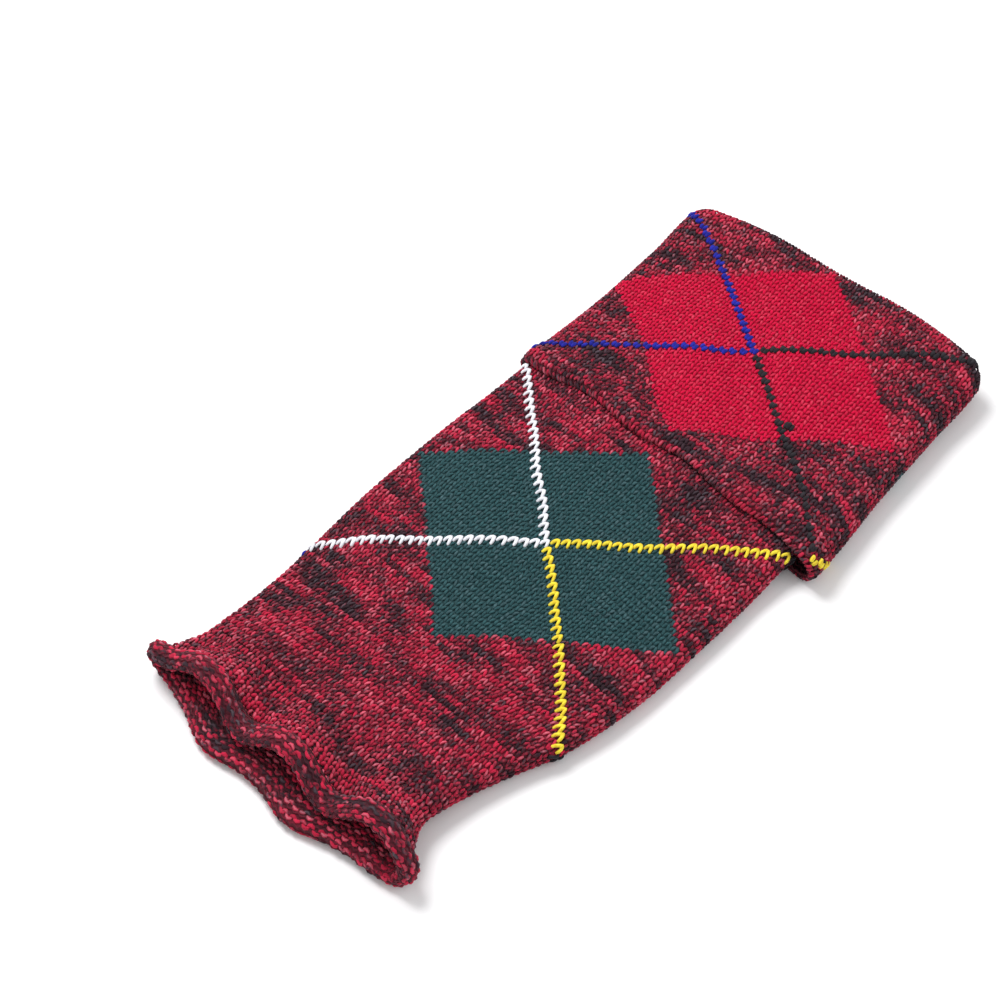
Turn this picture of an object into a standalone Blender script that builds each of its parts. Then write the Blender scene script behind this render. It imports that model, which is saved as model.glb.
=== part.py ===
"""A hose top: a knitted footless stocking with a turned-over cuff and a frilled ankle, lying flat.

Metres. +Y runs up the leg to the cuff, +X across it, +Z up from the surface that it lies on.
The three pieces are stretches of one knitted tube. The tube is described by the middle of its wall:
a section across the leg, carried along a profile that rolls outwards at the ankle and folds over at the
top. Each piece is a stretch of that profile, thickened by half a wall to each side.
"""

from math import cos, pi, sin

import bpy
import numpy as np

LEG_WIDTH = 0.144
LEG_LENGTH = 0.296  # from the start of the frill to the fold of the cuff
CUFF_DEPTH = 0.121  # from the fold down to the cuff's lower edge
FRILL_DEPTH = 0.036  # from the start of the frill out to its rim
WALL = 0.002  # one layer of the knitting
JOIN_GAP = 0.0005  # between two pieces, end to end
CUFF_GAP = 0.0008  # between the cuff and the leg under it

SIDE_HEIGHT = 0.0094  # between the two layers' middles, at the folded sides
CROWN = 0.004  # how much higher the upper layer stands along the middle
FOLD_RADIUS = 0.0022  # of the fold at the top, to the middle of the wall
ROLL_RADIUS = 0.0026  # of the rolled rim of the frill, half of its height
ROLL_REACH = 0.0042  # half of the roll's length along the leg
ROLL_TURN = 250  # degrees that the rim rolls round
HEM_RADIUS = 0.0013  # of the cuff's lower edge, where it turns in to the leg

CUFF_EASE = 0.0088  # how far the cuff's lower right corner stands off the leg
HEM_SWELL = 0.0014  # how much the soft lower edge of the cuff stands up
HEM_WIDTH = 0.006  # half the width of that swelling
HEM_WAVER = 0.0012  # how far that edge wavers along the leg
HEM_WAVER_LENGTH = 0.047  # between one such waver and the next
FRILL_FLARE = 0.0085  # how far the frill spreads to each side
FRILL_WAVES = 6
WAVE_TURN = 0.018  # share of the way round from the middle of the top to the first crest
WAVE_DEPTH = 0.0048  # of the frill's waves, up and down
VALLEY_CREASE = 1.35  # above 1, the valleys are narrower than the crests
RIM_SCALLOP = 0.0018  # of the same waves, along the leg
RIM_SETBACK = 0.009  # how far the upper layer's rim lies back from the lower one's
PLEAT_REACH = 0.048  # how far the waves run up into the leg
PLEAT_SHARE = 0.32  # of the wave's depth that is left at the start of the leg
LOOSE_SWELL = 0.0007  # of the slight unevenness of the upper layer
LOOSE_LENGTH = 0.062  # between one such swelling and the next

CUFF_TILT = 0.085  # rise of the fold line for each step across
TILT_START = 0.14  # how far up the leg the courses begin to tilt
CORNER_DROP = 0.0055  # how far the fold's two corners are rounded down
RIM_LIFT = 0.0105  # how far the rim curves back towards its two ends

LEG_STEPS = 20  # of the faces across each layer of the leg and the cuff
FRILL_STEPS = 32  # the same on the frill
BEND_STEPS = 8  # round each folded side

# The leg up from the ankle, as shares of its length: its outline from above, as shares of half its width,
# and how far its upper layer is domed, as a share of the crown. Below 0 it sags.
LEG_OUTLINE = (
    # along, left, right, dome
    (-0.12, -0.890, 0.665, -0.36),
    (0.00, -0.945, 0.670, 0.30),
    (0.06, -0.940, 0.720, 0.66),
    (0.12, -0.945, 0.800, 0.82),
    (0.17, -0.960, 0.885, 0.90),
    (0.23, -0.980, 0.945, 0.95),
    (0.30, -0.995, 0.985, 0.98),
    (0.42, -1.000, 1.000, 1.00),
    (0.57, -0.962, 1.000, 0.90),
    (0.70, -0.930, 1.002, 0.80),
    (0.87, -0.938, 0.980, 0.55),
    (1.00, -0.945, 0.950, 0.30),
)

# How far the cuff stands off the leg at its two sides, as shares of the cuff's depth and of its ease.
CUFF_STAND_OFF = (
    # down, left, right
    (0.00, 0.00, 0.12),
    (0.10, 0.03, 0.26),
    (0.30, 0.03, 0.34),
    (0.62, 0.02, 0.52),
    (0.85, 0.02, 0.86),
    (1.00, 0.00, 1.00),
)

# Where the wall has its rings of points, as shares of the bare leg, of the cuff downwards and of the frill.
LEG_STATIONS = (0.0, 0.08, 0.17, 0.27, 0.39, 0.54, 0.69, 0.82, 0.92)
CUFF_STATIONS = (0.0, 0.1, 0.2, 0.35, 0.52, 0.68, 0.82, 0.93, 1.0)
FRILL_STATIONS = (0.0, 0.3, 0.55, 0.78, 1.0)

ROLL_STEPS = 6
FOLD_STEPS = 5
HEM_STEPS = 3
LAYER = WALL + CUFF_GAP  # from the middle of the leg's wall to the middle of the cuff's
FOLD_SETTLE = 0.03  # over how much of the cuff the fold's roundness dies out
CUFF_RAMP = 0.03  # over how much of the leg its underside rises to lie on the cuff
ROLL_RAMP = 0.07  # over how much of the leg its underside rises to the rolled rim

RIM = -(FRILL_DEPTH - ROLL_REACH - WALL / 2)
FOLD = LEG_LENGTH - FOLD_RADIUS - WALL / 2
CUFF_EDGE = LEG_LENGTH - CUFF_DEPTH + HEM_RADIUS + WALL / 2
COVERED = FOLD - CUFF_EDGE  # the stretch of the leg that the cuff covers


def ease(x):
    """0 to 1 with level ends, for x from 0 to 1."""
    x = np.clip(x, 0, 1)
    return x * x * (3 - 2 * x)


def smooth_row(table, column, at):
    """A column of a table read between its rows along a smooth curve."""
    rows = np.array(table)
    x, y = rows[:, 0], rows[:, column]
    slope = np.gradient(y, x)
    at = np.clip(at, x[0], x[-1])
    i = np.clip(np.searchsorted(x, at) - 1, 0, len(x) - 2)
    step = x[i + 1] - x[i]
    t = (at - x[i]) / step
    rise = y[i] * (1 + 2 * t) * (1 - t) ** 2 + y[i + 1] * t * t * (3 - 2 * t)
    return rise + step * (slope[i] * t * (1 - t) ** 2 - slope[i + 1] * t * t * (1 - t))


def cuff_height(y):
    """How far outside the leg's wall the cuff's wall lies: more where the fold keeps it open."""
    return LAYER + (2 * FOLD_RADIUS - LAYER) * ease((y - FOLD + FOLD_SETTLE) / FOLD_SETTLE)


def underside(y):
    """How high the middle of the leg's lower layer lies, over the cuff or the rolled rim beneath it."""
    over_cuff = cuff_height(y) * ease((y - CUFF_EDGE + CUFF_RAMP) / CUFF_RAMP)
    over_roll = 2 * ROLL_RADIUS * ease((RIM + ROLL_RAMP - y) / ROLL_RAMP)
    return WALL / 2 + over_cuff + over_roll


def section(left, right, bottom, crown, steps):
    """Points round the leg, the way out at each, and the share of the way round from the middle of the top."""
    radius = SIDE_HEIGHT / 2
    middle = (left + right) / 2
    half = (right - left) / 2 - radius
    t = np.linspace(-1, 1, steps + 1)
    dome = crown * (1 - t**4) ** 2
    slope = -8 * crown * (1 - t**4) * t**3 / half
    flat = np.zeros_like(t)
    turn = np.linspace(pi / 2, -pi / 2, BEND_STEPS + 1)[1:-1]
    bend_x = half + radius * np.cos(turn)
    bend_z = radius * np.sin(turn)
    x = middle + np.concatenate([half * t, bend_x, -half * t, -bend_x])
    z = bottom + radius + np.concatenate([radius + dome, bend_z, flat - radius, -bend_z])
    out_x = np.concatenate([-slope, np.cos(turn), flat, -np.cos(turn)])
    out_z = np.concatenate([flat + 1, np.sin(turn), flat - 1, -np.sin(turn)])
    size = np.hypot(out_x, out_z)
    step = np.hypot(np.roll(x, -1) - x, np.roll(z, -1) - z)
    along = np.concatenate([[0], np.cumsum(step)])
    turns = (along[:-1] - along[steps // 2]) / along[-1]
    return x, z, out_x / size, out_z / size, turns


def lie(x, y, z):
    """How the whole tube lies: the cuff's courses tilt, and the fold's corners are rounded."""
    tilt = CUFF_TILT * ease((y - TILT_START) / (FOLD - TILT_START))
    side = np.abs(x) / (LEG_WIDTH / 2)
    corner = CORNER_DROP * ease((y - TILT_START) / (FOLD - TILT_START)) * side**6
    return x, y + tilt * x - corner, z


def wall_ring(y, stand, cuff, steps):
    """One ring of the wall's middle: y up the leg, stand outside the leg's wall, cuff 1 on the cuff or 0."""
    share = y / LEG_LENGTH
    down = (LEG_LENGTH - y) / CUFF_DEPTH
    spread = FRILL_FLARE * ease(-y / -RIM)
    half = LEG_WIDTH / 2 - WALL / 2
    left = half * smooth_row(LEG_OUTLINE, 1, share) - spread
    right = half * smooth_row(LEG_OUTLINE, 2, share) + spread
    left -= cuff * CUFF_EASE * smooth_row(CUFF_STAND_OFF, 1, down)
    right += cuff * CUFF_EASE * smooth_row(CUFF_STAND_OFF, 2, down)
    crown = CROWN * smooth_row(LEG_OUTLINE, 3, share)
    x, z, out_x, out_z, turns = section(left, right, underside(y), crown, steps)
    upper = ease(0.5 + out_z)  # 1 on the upper layer, 0 underneath

    wave = 1 - 2 * ((1 - np.cos(2 * pi * FRILL_WAVES * (turns - WAVE_TURN))) / 2) ** VALLEY_CREASE
    frilled = ease(-y / -RIM)
    pleat = PLEAT_SHARE * ease(1 - y / PLEAT_REACH)
    depth = WAVE_DEPTH * (pleat + (1 - PLEAT_SHARE) * frilled) * upper
    loose = LOOSE_SWELL * np.sin(2 * pi * (y + x) / LOOSE_LENGTH) * upper * ease(y / PLEAT_REACH)
    across = (2 * x - left - right) / (right - left)  # -1 to 1 from side to side
    set_back = RIM_SETBACK * frilled * upper * (1 - across**4)
    ends = RIM_LIFT * ease(-y / FRILL_DEPTH) * np.abs(across) ** 3

    edge = (y - CUFF_EDGE) / HEM_WIDTH
    swell = cuff * HEM_SWELL / (LAYER - HEM_RADIUS) * np.exp(-((edge - 0.8) ** 2)) * upper
    stand = stand + swell * (stand - HEM_RADIUS) * cuff
    x = x + out_x * stand
    z = z + out_z * (stand + depth * wave + loose)
    waver = HEM_WAVER * cuff * ease(down) * upper * np.sin(2 * pi * x / HEM_WAVER_LENGTH)
    y = y + RIM_SCALLOP * frilled * wave + set_back + ends + waver
    return lie(x, np.broadcast_to(y, x.shape), np.maximum(z, WALL / 2))


def frill_profile():
    """From the rolled-in end of the rim up to the leg: place along the leg, distance outside, cuff or not."""
    turns = np.radians(np.linspace(ROLL_TURN, 0, ROLL_STEPS + 1))
    roll = [(RIM - ROLL_REACH * sin(a), ROLL_RADIUS * (1 - cos(a)), 0) for a in turns]
    length = -JOIN_GAP - RIM
    return roll + [(RIM + length * share, 0, 0) for share in FRILL_STATIONS[1:]]


def leg_profile():
    """From the frill up to the top of the leg piece, which ends inside the mouth, below the fold."""
    bare = [(CUFF_EDGE * share, 0, 0) for share in LEG_STATIONS]
    covered = [(FOLD - COVERED * share, 0, 0) for share in CUFF_STATIONS[:0:-1]]
    return bare + covered


def cuff_profile():
    """From inside the mouth over the fold, down outside the leg, and in to it at the lower edge."""
    inside = [(FOLD - COVERED * CUFF_STATIONS[1] + JOIN_GAP, 0, 0)]
    turns = np.linspace(0, pi, FOLD_STEPS + 1)
    fold = [(FOLD + FOLD_RADIUS * sin(a), FOLD_RADIUS * (1 - cos(a)), (1 - cos(a)) / 2) for a in turns]
    heights = [FOLD - COVERED * share for share in CUFF_STATIONS[1:]]
    outside = [(y, cuff_height(y), 1) for y in heights]
    turns = np.linspace(0, pi / 2, HEM_STEPS + 1)[1:]
    hem = [(CUFF_EDGE - HEM_RADIUS * sin(a), LAYER - HEM_RADIUS * (1 - cos(a)), 1) for a in turns]
    return inside + fold + outside + hem


def wall_rings(profile, steps):
    """The middle of a stretch of wall, as an array of rings by points by xyz."""
    return np.array([np.stack(wall_ring(*station, steps), axis=1) for station in profile])


def ways_out(rings):
    """The direction out of the wall at each point, from its neighbours along and around."""
    along = np.gradient(rings, axis=0)
    around = np.roll(rings, -1, axis=1) - np.roll(rings, 1, axis=1)
    out = np.cross(around, along)
    return out / np.linalg.norm(out, axis=2, keepdims=True)


def wall_mesh(name, rings):
    """A closed wall: one skin half a wall outside the rings, one half a wall inside, joined at the ends."""
    out = ways_out(rings)
    outer = rings + out * WALL / 2
    inner = (rings - out * WALL / 2)[::-1]
    skin = np.concatenate([outer, inner])
    skin[:, :, 2] = np.maximum(skin[:, :, 2], 0)
    many, count = skin.shape[:2]
    faces = []
    for i in range(many):
        for k in range(count):
            here, beyond = i * count, (i + 1) % many * count
            beside = (k + 1) % count
            faces.append((here + k, here + beside, beyond + beside, beyond + k))
    mesh = bpy.data.meshes.new(name)
    mesh.from_pydata(skin.reshape(-1, 3).tolist(), [], faces)
    mesh.validate()
    mesh.shade_smooth()
    return mesh


def knitted_wool(name, colour):
    """Marled wool: matt, with the red ply's colour."""
    material = bpy.data.materials.new(name)
    material.use_nodes = True
    shader = material.node_tree.nodes["Principled BSDF"]
    shader.inputs["Base Color"].default_value = (*colour, 1)
    shader.inputs["Roughness"].default_value = 0.9
    shader.inputs["Metallic"].default_value = 0.0
    return material


def clear_scene():
    for item in list(bpy.data.objects):
        bpy.data.objects.remove(item)


def build():
    clear_scene()
    marl_red = knitted_wool("marled_red_wool", (0.32, 0.03, 0.06))
    cuff_red = knitted_wool("cuff_red_wool", (0.45, 0.02, 0.07))
    pieces = {
        "ankle_frill": (wall_rings(frill_profile(), FRILL_STEPS), marl_red),
        "leg": (wall_rings(leg_profile(), LEG_STEPS), marl_red),
        "turnover_cuff": (wall_rings(cuff_profile(), LEG_STEPS), cuff_red),
    }
    meshes = {name: (wall_mesh(name, rings), material) for name, (rings, material) in pieces.items()}
    points = np.array([v.co for mesh, _ in meshes.values() for v in mesh.vertices])
    low, high = points.min(axis=0), points.max(axis=0)
    for name, (mesh, material) in meshes.items():
        mesh.materials.append(material)
        item = bpy.data.objects.new(name, mesh)
        item.location = (-(low[0] + high[0]) / 2, -(low[1] + high[1]) / 2, -low[2])
        bpy.context.scene.collection.objects.link(item)


build()
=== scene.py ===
"""A knitted argyle hose top with a turned-over cuff and a frilled ankle, as it lies on a white table.

Metres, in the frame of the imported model: +Y up the leg, +X across it, +Z up from the table.
"""

from math import cos, pi, radians, sin

import bpy
import numpy as np
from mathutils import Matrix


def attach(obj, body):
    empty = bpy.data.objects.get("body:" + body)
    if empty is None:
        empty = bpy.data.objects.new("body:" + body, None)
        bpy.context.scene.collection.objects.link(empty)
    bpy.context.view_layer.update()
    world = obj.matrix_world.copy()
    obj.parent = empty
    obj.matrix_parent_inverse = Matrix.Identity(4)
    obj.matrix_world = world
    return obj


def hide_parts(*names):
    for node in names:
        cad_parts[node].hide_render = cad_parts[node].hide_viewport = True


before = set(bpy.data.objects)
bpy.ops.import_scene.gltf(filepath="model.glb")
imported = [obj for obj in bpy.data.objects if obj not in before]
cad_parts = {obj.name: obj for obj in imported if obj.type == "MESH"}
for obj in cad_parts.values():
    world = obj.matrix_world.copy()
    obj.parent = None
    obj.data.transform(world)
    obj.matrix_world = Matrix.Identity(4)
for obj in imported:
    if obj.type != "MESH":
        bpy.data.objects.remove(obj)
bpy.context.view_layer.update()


# The camera: it looks down on the hose top from the right of the ankle, at the photograph's angle.
# The long lens stands 0.93 m off, so the far cuff is drawn only a seventh smaller than the near frill.
CAMERA_PLACE = (0.33993, -0.40688, 0.76934)
CAMERA_TILT = 35.5  # degrees up from straight down
CAMERA_TURN = 43.4  # degrees round from looking up the leg

camera_data = bpy.data.cameras.new("camera")
camera_data.lens = 85
camera_data.sensor_width = 36
camera = bpy.data.objects.new("camera", camera_data)
camera.location = CAMERA_PLACE
camera.rotation_euler = (radians(CAMERA_TILT), 0, radians(CAMERA_TURN))
bpy.context.scene.collection.objects.link(camera)
bpy.context.scene.camera = camera


# The leg: one wool tube, knitted round in plain stocking stitch, lying flat with its sides folded softly.
# It has 96 wales, narrowed to 76 at the ankle. The fabric is the wall behind the stitches, and every stitch
# on its face is two short lengths of yarn that lean together at the top.
LEG_WIDTH = 0.144
LEG_LENGTH = 0.296  # from the start of the frill to the fold of the cuff
CUFF_DEPTH = 0.121  # from the fold down to the cuff's lower edge
FRILL_DEPTH = 0.036  # from the start of the frill out to its rim
WALL = 0.002  # one layer of the knitting
JOIN_GAP = 0.0005  # between two stretches, end to end
CUFF_GAP = 0.0008  # between the cuff and the leg under it
SIDE_HEIGHT = 0.0094  # between the two layers' middles, at the folded sides
CROWN = 0.004  # how much higher the upper layer stands along the middle
FOLD_RADIUS = 0.0022  # of the fold at the top, to the middle of the wall
ROLL_RADIUS = 0.0026  # of the rolled rim of the frill, half of its height
ROLL_REACH = 0.0042  # half of the roll's length along the leg
HEM_RADIUS = 0.0013  # of the cuff's lower edge, where it turns in to the leg
CUFF_EASE = 0.0088  # how far the cuff's lower right corner stands off the leg
HEM_SWELL = 0.0014  # how much the soft lower edge of the cuff stands up
HEM_WIDTH = 0.006  # half the width of that swelling
HEM_WAVER = 0.0012  # how far that edge wavers along the leg
HEM_WAVER_LENGTH = 0.047  # between one such waver and the next
HEM_CREST = 0.8  # how far up from the edge its swelling is highest, in half widths
FRILL_FLARE = 0.0085  # how far the frill spreads to each side
FRILL_WAVES = 6
WAVE_TURN = 0.018  # share of the way round to the first crest
WAVE_DEPTH = 0.0048  # of the frill's waves, up and down
VALLEY_CREASE = 1.35  # above 1, the valleys are narrower than the crests
RIM_SCALLOP = 0.0018  # of the same waves, along the leg
RIM_SETBACK = 0.009  # how far the upper layer's rim lies back from the lower one's
PLEAT_REACH = 0.048  # how far the waves run up into the leg
PLEAT_SHARE = 0.32  # of the waves' depth that is left at the start of the leg
LOOSE_SWELL = 0.0007  # of the slight unevenness of the upper layer
LOOSE_LENGTH = 0.062  # between one such swelling and the next
CUFF_TILT = 0.085  # rise of the fold line for each step across
TILT_START = 0.14  # how far up the leg the courses begin to tilt
CORNER_DROP = 0.0055  # how far the fold's two corners are rounded down
RIM_LIFT = 0.0105  # how far the rim curves back towards its two ends
LAYER = WALL + CUFF_GAP  # from the middle of the leg's wall to the middle of the cuff's
FOLD_SETTLE = 0.03  # over how much of the cuff the fold's roundness dies out
CUFF_RAMP = 0.03  # over how much of the leg its underside rises to lie on the cuff
ROLL_RAMP = 0.07  # over how much of the leg its underside rises to the rolled rim
RIM = -(FRILL_DEPTH - ROLL_REACH - WALL / 2)
FOLD = LEG_LENGTH - FOLD_RADIUS - WALL / 2
CUFF_EDGE = LEG_LENGTH - CUFF_DEPTH + HEM_RADIUS + WALL / 2
MOUTH_SHARE = 0.1  # how far down inside the mouth leg and cuff meet, as a share of the covered length
LEG_TOP = FOLD - MOUTH_SHARE * (FOLD - CUFF_EDGE)
TUBE_MIDDLE = (-0.00281, -0.13101, 0)  # from the start of the frill to the frame's origin

# The leg up from the ankle, as shares of its length: its outline from above, as shares of half its width,
# and how far its upper layer is domed, as a share of the crown. Below 0 it sags.
LEG_OUTLINE = (
    # along, left, right, dome
    (-0.12, -0.890, 0.665, -0.36),
    (0.00, -0.945, 0.670, 0.30),
    (0.06, -0.940, 0.720, 0.66),
    (0.12, -0.945, 0.800, 0.82),
    (0.17, -0.960, 0.885, 0.90),
    (0.23, -0.980, 0.945, 0.95),
    (0.30, -0.995, 0.985, 0.98),
    (0.42, -1.000, 1.000, 1.00),
    (0.57, -0.962, 1.000, 0.90),
    (0.70, -0.930, 1.002, 0.80),
    (0.87, -0.938, 0.980, 0.55),
    (1.00, -0.945, 0.950, 0.30),
)
# How far the cuff stands off the leg at its two sides, as shares of the cuff's depth and of its ease.
CUFF_STAND_OFF = (
    # down, left, right
    (0.00, 0.00, 0.12),
    (0.10, 0.03, 0.26),
    (0.30, 0.03, 0.34),
    (0.62, 0.02, 0.52),
    (0.85, 0.02, 0.86),
    (1.00, 0.00, 1.00),
)

WALES = 96  # stitches round the tube
ANKLE_WALES = 76  # left at the ankle, after the ones that are worked together at the back
NARROWING = 17  # courses over which they are worked together
QUARTER = WALES // 4  # of the round
HALVES = (("front", (-QUARTER, QUARTER)), ("back", (QUARTER, 3 * QUARTER)))  # from the middle of the top
FINE = 4  # points of the cloth's face to each stitch, either way
LAYER_POINTS = 161  # across each layer of the section
BEND_POINTS = 33  # round each of its folded sides
SINK = 0.0007  # how far the wall lies below the face of the stitches
LEG_COURSE = 0.00265  # height of one stitch: about 38 courses to 10 cm
LEG_CENTRE = 0.112  # of the leg's lozenge, up from the start of the frill
LOZENGE = 22  # half of a lozenge, in stitches
OVERCHECK = 24  # reach of the overcheck lines, in stitches


def ease(x):
    """0 to 1 with level ends, for x from 0 to 1."""
    x = np.clip(x, 0, 1)
    return x * x * (3 - 2 * x)


def smooth_row(table, column, at):
    """A column of a table read between its rows along a smooth curve."""
    rows = np.array(table)
    x, y = rows[:, 0], rows[:, column]
    slope = np.gradient(y, x)
    at = np.clip(at, x[0], x[-1])
    i = np.clip(np.searchsorted(x, at) - 1, 0, len(x) - 2)
    step = x[i + 1] - x[i]
    t = (at - x[i]) / step
    rise = y[i] * (1 + 2 * t) * (1 - t) ** 2 + y[i + 1] * t * t * (3 - 2 * t)
    return rise + step * (slope[i] * t * (1 - t) ** 2 - slope[i + 1] * t * t * (1 - t))


def cuff_height(y):
    """How far outside the leg's wall the cuff's wall lies."""
    return LAYER + (2 * FOLD_RADIUS - LAYER) * ease((y - FOLD + FOLD_SETTLE) / FOLD_SETTLE)


def underside(y):
    """How high the middle of the leg's lower layer lies, over the cuff or the rolled rim beneath it."""
    over_cuff = cuff_height(y) * ease((y - CUFF_EDGE + CUFF_RAMP) / CUFF_RAMP)
    over_roll = 2 * ROLL_RADIUS * ease((RIM + ROLL_RAMP - y) / ROLL_RAMP)
    return WALL / 2 + over_cuff + over_roll


def section(left, right, bottom, crown):
    """Close points round the leg, the way out at each, and how far round it is from the top's middle."""
    radius = SIDE_HEIGHT / 2
    middle, half = (left + right) / 2, (right - left) / 2 - radius
    t = np.linspace(-1, 1, LAYER_POINTS)
    turn = np.linspace(pi / 2, -pi / 2, BEND_POINTS)[1:-1]
    dome = crown * (1 - t**4) ** 2
    slope = -8 * crown * (1 - t**4) * t**3 / half
    flat = np.zeros_like(t)
    bend_x, bend_z = half + radius * np.cos(turn), radius * np.sin(turn)
    x = middle + np.concatenate([half * t, bend_x, -half * t, -bend_x])
    z = bottom + radius + np.concatenate([radius + dome, bend_z, flat - radius, -bend_z])
    out_x = np.concatenate([-slope, np.cos(turn), flat, -np.cos(turn)])
    out_z = np.concatenate([flat + 1, np.sin(turn), flat - 1, -np.sin(turn)])
    size = np.hypot(out_x, out_z)
    along = np.concatenate([[0], np.cumsum(np.hypot(np.roll(x, -1) - x, np.roll(z, -1) - z))])
    return x, z, out_x / size, out_z / size, (along[:-1] - along[LAYER_POINTS // 2]) / along[-1]


def lie(x, y, z):
    """How the whole tube lies: the cuff's courses tilt, and the fold's corners are rounded."""
    tilt = CUFF_TILT * ease((y - TILT_START) / (FOLD - TILT_START))
    side = np.abs(x) / (LEG_WIDTH / 2)
    corner = CORNER_DROP * ease((y - TILT_START) / (FOLD - TILT_START)) * side**6
    return x, y + tilt * x - corner, z


def evenly(ring):
    """The same closed ring with its points at even distances: every stitch of a course is as wide."""
    walked = np.linalg.norm(np.diff(ring, axis=0, append=ring[:1]), axis=1).cumsum()
    at = np.arange(len(ring)) / len(ring) * walked[-1]
    from_start = np.concatenate([[0], walked[:-1]])
    return np.stack([np.interp(at, from_start, p, period=walked[-1]) for p in ring.T], axis=1)


def wall_ring(y, stand, cuff):
    """The middle of the wall all round, from the middle of the top."""
    share = y / LEG_LENGTH
    down = (LEG_LENGTH - y) / CUFF_DEPTH
    spread = FRILL_FLARE * ease(-y / -RIM)
    half = LEG_WIDTH / 2 - WALL / 2
    left = half * smooth_row(LEG_OUTLINE, 1, share) - spread
    right = half * smooth_row(LEG_OUTLINE, 2, share) + spread
    left -= cuff * CUFF_EASE * smooth_row(CUFF_STAND_OFF, 1, down)
    right += cuff * CUFF_EASE * smooth_row(CUFF_STAND_OFF, 2, down)
    crown = CROWN * smooth_row(LEG_OUTLINE, 3, share)
    *points, turns = section(left, right, underside(y), crown)
    even = np.arange(WALES * FINE) / (WALES * FINE)
    x, z, out_x, out_z = (np.interp(even, turns, p, period=1) for p in points)
    upper = ease(0.5 + out_z)  # 1 on the upper layer, 0 underneath

    wave = 1 - 2 * ((1 - np.cos(2 * pi * FRILL_WAVES * (even - WAVE_TURN))) / 2) ** VALLEY_CREASE
    frilled = ease(-y / -RIM)
    pleat = PLEAT_SHARE * ease(1 - y / PLEAT_REACH)
    depth = WAVE_DEPTH * (pleat + (1 - PLEAT_SHARE) * frilled) * upper
    loose = LOOSE_SWELL * np.sin(2 * pi * (y + x) / LOOSE_LENGTH) * upper * ease(y / PLEAT_REACH)
    across = (2 * x - left - right) / (right - left)  # -1 to 1 from side to side
    set_back = RIM_SETBACK * frilled * upper * (1 - across**4)
    ends = RIM_LIFT * ease(-y / FRILL_DEPTH) * np.abs(across) ** 3

    edge = (y - CUFF_EDGE) / HEM_WIDTH
    swell = cuff * HEM_SWELL / (LAYER - HEM_RADIUS) * np.exp(-((edge - HEM_CREST) ** 2)) * upper
    stand = stand + swell * (stand - HEM_RADIUS) * cuff
    x = x + out_x * stand
    z = z + out_z * (stand + depth * wave + loose)
    waver = HEM_WAVER * cuff * ease(down) * upper * np.sin(2 * pi * x / HEM_WAVER_LENGTH)
    y = y + RIM_SCALLOP * frilled * wave + set_back + ends + waver
    x, y, z = lie(x, y, np.maximum(z, WALL / 2))
    return evenly(np.stack([x, y, z], axis=1)) + TUBE_MIDDLE


def even_walk(profile, step):
    """Stations at even distances along a profile of (y, stand, cuff) points."""
    profile = np.array(profile)
    walked = np.hypot(np.diff(profile[:, 0]), np.diff(profile[:, 1]))
    walked = np.concatenate([[0], np.cumsum(walked)])
    at = np.arange(int(round(walked[-1] / step)) + 1) * step
    return np.stack([np.interp(at, walked, profile[:, i]) for i in range(3)], axis=1)


def wall_grid(stations):
    """The wall's middle and the way out of it, as rings by points by xyz."""
    middle = np.array([wall_ring(*station) for station in stations])
    around = np.roll(middle, -1, axis=1) - np.roll(middle, 1, axis=1)
    out = np.cross(around, np.gradient(middle, axis=0))
    return middle, out / np.linalg.norm(out, axis=2, keepdims=True)


# No row of stitches lies quite straight: courses and wales waver by up to a third of a stitch.
COURSE_WAVER = (
    # size in stitches, waves round the leg, courses to a radian along it
    (0.22, 3, 5.3),
    (0.12, 7, -3.1),
)
WALE_WAVER = (
    # size in stitches, waves round the leg, courses to a radian along it
    (0.16, 2, 6.1),
    (0.10, -5, 3.7),
)


def stray(rows, course, angle):
    """How far a course or a wale is off its straight line at each place."""
    return sum(size * np.sin(waves * angle + course / length) for size, waves, length in rows)


class Face:
    """The face of a stretch of cloth, on which a place is given by course and wale."""

    def __init__(self, stations, side, start=0, turned=0.0, spread=0.0, narrowed=((0, 1), (0, 0))):
        middle, out = wall_grid(stations)
        self.out = out * side
        self.points = middle + self.out * (WALL / 2 - SINK)
        self.start = start  # the number of its first course
        self.turned = turned  # how far the knitting is turned round the leg, in wales
        self.spread = spread  # how much wider than the rest the wales in the middle of the top are
        self.narrowed = narrowed  # courses, and how much of the narrowing is done at each

    def wales_at(self, course):
        """How many wales go round at this course."""
        return WALES - (WALES - ANKLE_WALES) * np.interp(course, *self.narrowed)

    def at(self, course, wale):
        """Points, ways out and the width of a wale at these places."""
        rows, cols = self.points.shape[:2]
        angle = 2 * pi * wale / WALES
        course = course + stray(COURSE_WAVER, course, angle)
        wale = wale + stray(WALE_WAVER, course, angle)
        wider = WALES / self.wales_at(course)
        col = (wale * wider + self.turned + self.spread * np.sin(angle) * WALES / (2 * pi)) * FINE
        row = np.clip((course - self.start) * FINE, 0, rows - 1.001)
        i, k = np.floor(row).astype(int), np.floor(col).astype(int)
        a, b = (row - i)[..., None], (col - k)[..., None]
        k, beside = k % cols, (k + 1) % cols

        def read(grid):
            near = grid[i, k] * (1 - b) + grid[i, beside] * b
            far = grid[i + 1, k] * (1 - b) + grid[i + 1, beside] * b
            return near * (1 - a) + far * a

        width = np.linalg.norm(self.points[i, beside] - self.points[i, k], axis=-1) * FINE
        width = width * wider * (1 + self.spread * np.cos(angle))
        return read(self.points), read(self.out), width


def new_object(name, mesh, material):
    mesh.materials.append(material)
    piece = bpy.data.objects.new(name, mesh)
    bpy.context.scene.collection.objects.link(piece)
    return piece


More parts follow.
